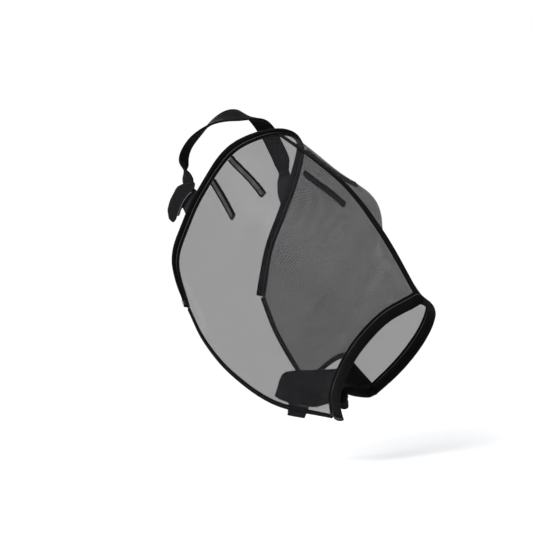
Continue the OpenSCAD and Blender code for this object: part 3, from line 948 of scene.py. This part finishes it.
STRAP_RIM = 0.9
STRAP_SEAMS = {"front": 8, "back": -9}  # columns of the strap's grid that its stitches follow


def strap_sheet(node):
    return cad_sheet(node, (-10, 1, 0), (0, -1, 0))


def build_strap():
    """The strap behind the ears: a brushed outer layer on a black lining, stitched along both borders."""
    layers = {}
    for name, node, cloth, slot in (
        ("strap_outer", "poll_strap", strap_cloth, "strap"),
        ("strap_inner", "poll_strap_lining", lining_cloth, "lining"),
    ):
        grid, thickness = strap_sheet(node)
        long = lengths(grid.mean(axis=1))[-1]
        wide = lengths(grid[0])[-1]
        fine = refine(grid, even_border(long, STRAP_RIM, 260), even_border(wide, STRAP_RIM, 20))
        uneven = 0.12 * wander_grid(fine.shape[:2], (9, 3), 61)
        sheet_piece(name, fine, thickness, cloth, "poll_strap", (node,), STRAP_RIM, np.abs(uneven))
        layers[name] = fine, thickness
    fine, thickness = layers["strap_outer"]
    n = outward_normals(fine)
    for label, place in STRAP_SEAMS.items():
        up = n[:, place]
        line = fine[:, place] + up * (thickness / 2 + 0.15)
        stitch_piece(f"strap_stitches_{label}", line, up, thread, "poll_strap", "strap", STITCH_PITCH)


def plate_piece(name, node, cloth, body, slot, rows=60, cols=34, rim=0.8, swell=0.12, seed=71):
    """A flat CAD plate rebuilt as soft cloth with a rounded rim and an uneven face."""
    grid, thickness = cad_plate(node, rows, cols)
    bumps = swell * np.abs(wander_grid((rows, cols), (2, 2), seed))
    sheet_piece(name, grid, thickness, cloth, body, (node,), rim, bumps)
    return grid, thickness


BORDER = 3  # rows and columns from a plate's rim to its stitches


def border_stitches(name, grid, thickness, body):
    """Stitches down one side of a plate, along its foot and up the other side."""
    n = outward_normals(grid)
    rows, cols = grid.shape[:2]
    down = [(r, BORDER) for r in range(BORDER, rows - BORDER)]
    low = [(rows - 1 - BORDER, c) for c in range(BORDER, cols - BORDER)]
    up = [(r, cols - 1 - BORDER) for r in range(rows - 1 - BORDER, BORDER, -1)]
    at = tuple(np.array(down + low + up).T)
    line = grid[at] + n[at] * (thickness / 2 + 0.1)
    stitch_piece(name, smoothed(line, 1.0), n[at], thread, body, "strap", pitch=3.2, length=2.3, radius=0.32)


def build_flap():
    """The hook flap and the tabs that the strap closes on and is sewn to."""
    hooks = "flap_hooks", "hook_flap_patch", hook_pile
    loops = "near_tab_loops", "loop_tab_patch", loop_pile
    for name, node, cloth, body, swell, seed, patch in (
        ("flap", "hook_flap", strap_cloth, "hook_flap", 0.12, 71, hooks),
        ("near_tab", "loop_tab", tab_cloth, "mask", 0.1, 72, loops),
        ("far_tab", "strap_root_tab", tab_cloth, "mask", 0.1, 73, None),
    ):
        grid, thickness = plate_piece(name, node, cloth, body, "strap", swell=swell, seed=seed)
        border_stitches(f"{name}_stitches", grid, thickness, body)
        if patch:
            plate_piece(*patch, body, "hook_loop", 40, 24, 0.4)


PIPING_R = 1.55
PIPING_HIGHLIGHT = 0.62  # how thick the painted highlight line along the piping is, as a share of the piping
PIPING_TWIST = 4.0


def build_piping():
    """The corded piping on the flap's front edge, with a pale strip along each face that paints its highlight."""
    points, _ = welded("hook_flap_piping")
    level = points @ JAWWARD
    at = np.linspace(level.min(), level.max(), 12)
    half = (at[1] - at[0]) * 0.75
    line = np.array([points[np.abs(level - v) <= half].mean(axis=0) for v in at])
    fine = resample(line, np.linspace(0, len(line) - 1, 160))
    out = np.tile(LEFTWARD * np.sign(line[:, 0].mean()), (len(fine), 1))
    away = np.cross(np.gradient(fine, axis=0), out)
    centre, away, out = stations(fine, out, away, 0.5, 1.0)
    angle = circle(12)
    radius = PIPING_R * (1 + 0.07 * np.cos(2 * angle[None] + turns(centre, PIPING_TWIST)))
    tube_piece("flap_piping", centre, away, out, radius * np.cos(angle), radius * np.sin(angle), cord_cloth,
               "hook_flap", ("hook_flap_piping",), 1.5)
    # Two pale tubes, one on each face, poke out of the dark cord as a painted highlight line.
    light = PIPING_HIGHLIGHT * PIPING_R
    across = np.tile(light * np.cos(angle), (len(centre), 1))
    for face, label in ((-1, "in"), (1, "out")):
        rise = np.tile(light * np.sin(angle) + face * light, (len(centre), 1))
        tube_piece(f"flap_piping_highlight_{label}", centre, away, out, across, rise, piping_highlight_cloth,
                   "hook_flap", (), 1.5)


# ---- Chin closure ----
FLAP_SHARE = 0.85  # of the CAD thickness, so that the layers' faces stay apart
FACE_SHARE = 0.9
DRAPE = 0.25


def chin_sheet():
    return cad_sheet("chin_flap", (10, 1, 0), (-1, 0, -0.3))


def build_chin():
    """The flap under the chin, with its hook face, loop face, edge tape and pull tab."""
    grid, thickness = chin_sheet()
    fine = refine(grid, 60, 90)
    drape = DRAPE * wander_grid(fine.shape[:2], (9, 4), 81) * rim_free(60, 90)
    fine = fine + outward_normals(fine) * drape[..., None]
    sheet_piece("chin_cloth", fine, thickness * FLAP_SHARE, flap_cloth, "chin_flap",
                ("chin_flap",), 0.9)
    for name, node, pile, body in (
        ("chin_hooks", "chin_hook_strip", hook_pile, "chin_flap"),
        ("chin_loops", "chin_loop_strip", loop_pile, "mask"),
    ):
        strip, thick = cad_sheet(node, (-1, 1, 1), (0, 0, -1))
        sheet_piece(name, refine(strip, 40, 26), thick * FACE_SHARE, pile, body, (node,), 0.5)
    tape, thick = cad_sheet("chin_flap_edge_tape", (10, 1, 0), (-1, 0, 0))
    sheet_piece("chin_tape", refine(tape, 8, 90), thick * FACE_SHARE, edge_cloth, "chin_flap",
                ("chin_flap_edge_tape",), 0.6)
    tab, thick = cad_sheet("pull_tab", (0, 10, 1), (0, 0, -1))
    tab = refine(tab, 30, 26)
    sheet_piece("pull_tab_cloth", tab, thick, strap_cloth, "pull_tab", ("pull_tab",), 0.9)


END_TRIM = (3.0, 1.0)  # how much shorter than the flap's front edge the roll is, at its two ends


def build_noseband_end():
    """The noseband's second end, on the front of the chin flap."""
    fine = refine(chin_sheet()[0], 61, 121)
    out = outward_normals(fine)
    ends = sorted((fine[0], fine[-1]), key=lambda e: e.mean(axis=0) @ DOWN_FACE)
    front = -1 if np.allclose(ends[1], fine[-1]) else 0
    back = -4 if front == -1 else 3
    centre, away, normal = stations(fine[front], out[front], fine[front] - fine[back], 1.0, 1.5, END_TRIM)
    width = node_reach("noseband_end_cover", centre, away)
    height = node_reach("noseband_end_cover", centre, normal) - 0.2
    ring = closed_ring([
        (0.5, 0.0), (0.7, 1.3), (2.4, height * 0.8), (width * 0.4, height),
        (width * 0.65, height * 0.95), (width * 0.88, height * 0.6), (width, 0.0),
    ], 36)
    across, rise = puckered(ring, centre, 91, 0.04, 0.7)
    tube_piece("noseband_end", centre, away, normal, across, rise, roll_cloth, "chin_flap",
               ("noseband_end_cover",), 2.5)
    foam_core("noseband_end_foam", centre, away, normal, width, height, "chin_flap", "noseband_end_padding")
    return centre, away, normal


# ---- Pieces that cross a joint ----
def bridge(piece, a, b, start, end):
    """Bakes a piece's placement into its points. The two bodies and the line from start to end in millimetres are
    not used.
    """
    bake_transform(piece)


FOLD_T = 3.3
FOLD_INSET = 2.5  # from a hinge inwards to the fold's middle surface
FOLD_REACH = 4.5  # how far a fold reaches above and below its hinge
FOLD_SEAM = 3.2  # from the hinge to each row of stitches
FOLD_BEND = 1.2  # how far above and below the hinge the line handed to bridge() reaches


def build_strap_folds():
    """The sewn folds at the strap's two ends: one on its root tab, and one that carries the hook flap."""
    strap, _ = strap_sheet("poll_strap")
    for name, end, bodies in (
        ("strap_fold_near", strap[0], ("hook_flap", "poll_strap")),
        ("strap_fold_far", strap[-1], ("mask", "poll_strap")),
    ):
        way = np.sign(end[:, 0].mean())
        hinge = np.array(joints["hook_flap_peel" if way < 0 else "poll_strap_swing"]["pos_m"]) / MM
        x = hinge[0] - way * FOLD_INSET
        heights = hinge[2] + np.linspace(-FOLD_REACH, FOLD_REACH, 22)
        y = np.linspace(end[:, 1].min() + 0.2, end[:, 1].max() - 0.2, 34)
        grid = np.stack(np.broadcast_arrays(x, y[None], heights[:, None]), axis=-1)
        soft = 0.15 * np.abs(wander_grid(grid.shape[:2], (2, 2), 95))
        piece = sheet_piece(name, grid, FOLD_T, strap_cloth, None, (), 0.9, soft)
        low, high = (hinge[2] + k * FOLD_BEND for k in (-1, 1))
        bridge(piece, *bodies, (x, hinge[1], low), (x, hinge[1], high))
        for row, height in (("low", -FOLD_SEAM), ("high", FOLD_SEAM)):
            line = np.stack(np.broadcast_arrays(x + way * (FOLD_T / 2 + 0.1), y, hinge[2] + height), axis=-1)
            body = bodies[0] if height < 0 else bodies[1]
            up = np.tile(way * LEFTWARD, (len(y), 1))
            stitch_piece(f"{name}_stitches_{row}", line, up, thread, body, "strap",
                         pitch=3.2, length=2.3, radius=0.34)


HINGE_GRIP = 5.0  # how far the hinge tape reaches on to the mesh and on to the flap
HINGE_T = 3.0
HINGE_BEND = 1.5  # how far from the hinge's axis, on each side, the line handed to bridge() reaches


def build_chin_hinge():
    """The tape that hinges the chin flap on the left half. Returns the hinge and the direction across it, for the
    padded roll that carries on across it.
    """
    root = refine(chin_sheet()[0], 40, 60)[:, :8]
    inward = unit(root[:, 7] - root[:, 0])
    edge = panel["left"][:, -1]
    back = unit(panel["left"][:, -4] - edge)
    near = nearest(root[:, 0], edge)
    mesh_edge = smoothed(edge[near], 2.0)
    mesh_back = unit(smoothed(back[near], 2.0))
    stops = [mesh_edge + HINGE_GRIP * mesh_back, mesh_edge, root[:, 0], root[:, 0] + HINGE_GRIP * inward]
    grid = resample(np.stack(stops), np.linspace(0, 3, 24)).transpose(1, 0, 2)
    piece = sheet_piece("chin_hinge_tape", grid, HINGE_T, edge_cloth, None, (), 1.0)
    axis = unit(np.array(joints["chin_flap_open"]["axis"]))
    hinge = np.array(joints["chin_flap_open"]["pos_m"]) / MM
    across = unit(without((root[:, 0] - mesh_edge).mean(axis=0), axis))
    bridge(piece, "mask", "chin_flap", hinge - HINGE_BEND * across, hinge + HINGE_BEND * across)
    return hinge, across


BRIDGE_LAP = 4  # stations of each roll that the bridge lies over
BRIDGE_OVER = (0.5, 0.3)  # how much wider and higher it is than the roll's end


def build_noseband_bridge(left_end, flap_end, turn):
    """The padded roll carries on across the chin flap's hinge."""
    hinge, across = turn
    share = np.linspace(0, 1, 26)[:, None]
    centre, away, out = (a[-BRIDGE_LAP] + (b[BRIDGE_LAP] - a[-BRIDGE_LAP]) * share
                         for a, b in zip(left_end, flap_end))
    away = unit(away)
    out = unit(without(out, away))
    end_centre, end_away, end_out = flap_end
    width = node_reach("noseband_end_cover", end_centre, end_away) + BRIDGE_OVER[0]
    height = node_reach("noseband_end_cover", end_centre, end_out) + BRIDGE_OVER[1]
    ring = roll_ring(width, height)
    tucks = 1 + 0.05 * np.cos(turns(centre, 2.8))
    across_ring = np.tile(ring[:, 0], (len(centre), 1))
    piece = tube_piece("noseband_bridge", centre, away, out, across_ring, ring[:, 1] * tucks, roll_cloth,
                       None, (), 1.2)
    bridge(piece, "mask", "chin_flap", hinge - HINGE_BEND * across, hinge + HINGE_BEND * across)


# ---- Studio ----
BACKDROP = 1.0
FLOOR_R = 2.0
FLOOR_GAP = 0.07
FLOOR_FADE = (0.3, 1.4)
WORLD_LIGHT = 0.55
LAMPS = (  # name, place from the middle of the mask in metres, size in metres, power in watts
    ("key", (-1.6, -0.6, 1.5), 1.2, 62),
    ("fill", (1.3, -1.8, 0.3), 1.6, 16),
    ("rim", (0.5, 1.7, 1.2), 1.2, 34),
)
CAMERA_AZIMUTH = -38.0
CAMERA_ROLL = 8.0
CAMERA_DISTANCE = 2.5
CAMERA_LENS = 116.5
CAMERA_SHIFT = (-0.108, 0.0045)
AIM_DOWN_FACE = 0.200
AIM_JAWWARD = 0.090


def build_floor():
    """A pale disc that fades into the backdrop at its rim."""
    middle = (0, 0, cad_box[0].z - FLOOR_GAP)
    bpy.ops.mesh.primitive_circle_add(vertices=96, radius=FLOOR_R, fill_type="NGON", location=middle)
    floor = bpy.context.object
    floor.name = "floor"
    material = bpy.data.materials.new("floor")
    material.use_nodes = True
    nodes, links = material.node_tree.nodes, material.node_tree.links
    skin = nodes["Principled BSDF"]
    skin.inputs["Base Color"].default_value = (0.9, 0.9, 0.9, 1)
    skin.inputs["Roughness"].default_value = 0.9
    where = nodes.new("ShaderNodeTexCoord")
    far = nodes.new("ShaderNodeVectorMath")
    far.operation = "LENGTH"
    fade = nodes.new("ShaderNodeMapRange")
    fade.interpolation_type = "SMOOTHSTEP"
    fade.inputs["From Min"].default_value, fade.inputs["From Max"].default_value = FLOOR_FADE
    clear = nodes.new("ShaderNodeBsdfTransparent")
    mixed = nodes.new("ShaderNodeMixShader")
    links.new(where.outputs["Object"], far.inputs[0])
    links.new(far.outputs["Value"], fade.inputs["Value"])
    links.new(fade.outputs["Result"], mixed.inputs[0])
    links.new(skin.outputs["BSDF"], mixed.inputs[1])
    links.new(clear.outputs[0], mixed.inputs[2])
    links.new(mixed.outputs[0], nodes["Material Output"].inputs["Surface"])
    floor.data.materials.append(material)


def build_light():
    """A pale backdrop for the camera, a dimmer one for the light, and three soft lamps."""
    world = bpy.data.worlds.new("studio")
    bpy.context.scene.world = world
    world.use_nodes = True
    nodes, links = world.node_tree.nodes, world.node_tree.links
    seen, lit = nodes["Background"], nodes.new("ShaderNodeBackground")
    seen.inputs["Color"].default_value = (BACKDROP, BACKDROP, BACKDROP, 1)
    lit.inputs["Color"].default_value = (0.95, 0.97, 1, 1)
    lit.inputs["Strength"].default_value = WORLD_LIGHT
    path, mixed = nodes.new("ShaderNodeLightPath"), nodes.new("ShaderNodeMixShader")
    links.new(path.outputs["Is Camera Ray"], mixed.inputs[0])
    links.new(lit.outputs[0], mixed.inputs[1])
    links.new(seen.outputs[0], mixed.inputs[2])
    links.new(mixed.outputs[0], nodes["World Output"].inputs["Surface"])
    low, high = cad_box
    middle = (low + high) / 2
    for name, offset, size, power in LAMPS:
        lamp = bpy.data.lights.new(name, "AREA")
        lamp.size = size
        lamp.energy = power
        holder = bpy.data.objects.new(name, lamp)
        holder.location = middle + Vector(offset)
        holder.rotation_euler = (-Vector(offset)).to_track_quat("-Z", "Y").to_euler()
        bpy.context.scene.collection.objects.link(holder)


def build_camera():
    """A camera in front of the mask on its right, tilted a little to one side."""
    azimuth, roll = math.radians(CAMERA_AZIMUTH), math.radians(CAMERA_ROLL)
    back = np.array([math.sin(azimuth), -math.cos(azimuth), 0])
    level = np.array([math.cos(azimuth), math.sin(azimuth), 0])
    upright = np.array([0, 0, 1.0])
    across = math.cos(roll) * level - math.sin(roll) * upright
    up = math.sin(roll) * level + math.cos(roll) * upright
    aim = AIM_DOWN_FACE * DOWN_FACE + AIM_JAWWARD * JAWWARD
    data = bpy.data.cameras.new("camera")
    data.lens = CAMERA_LENS
    data.shift_x, data.shift_y = CAMERA_SHIFT
    camera = bpy.data.objects.new("camera", data)
    place = aim + CAMERA_DISTANCE * back
    rows = [[across[k], up[k], back[k], place[k]] for k in range(3)] + [[0, 0, 0, 1]]
    bpy.context.scene.collection.objects.link(camera)
    camera.matrix_world = Matrix(rows)
    bpy.context.scene.camera = camera


for side in SIDES:
    build_mesh(side)
    for level in ("upper", "lower"):
        build_dart(side, level)
noseband_line = build_padded_edges()
build_jaw_edges()
build_seam()
build_strap()
build_flap()
build_piping()
build_chin()
flap_line = build_noseband_end()
build_strap_folds()
build_noseband_bridge(noseband_line, flap_line, build_chin_hinge())
build_floor()
build_light()
build_camera()
bpy.context.scene.view_settings.view_transform = "Standard"
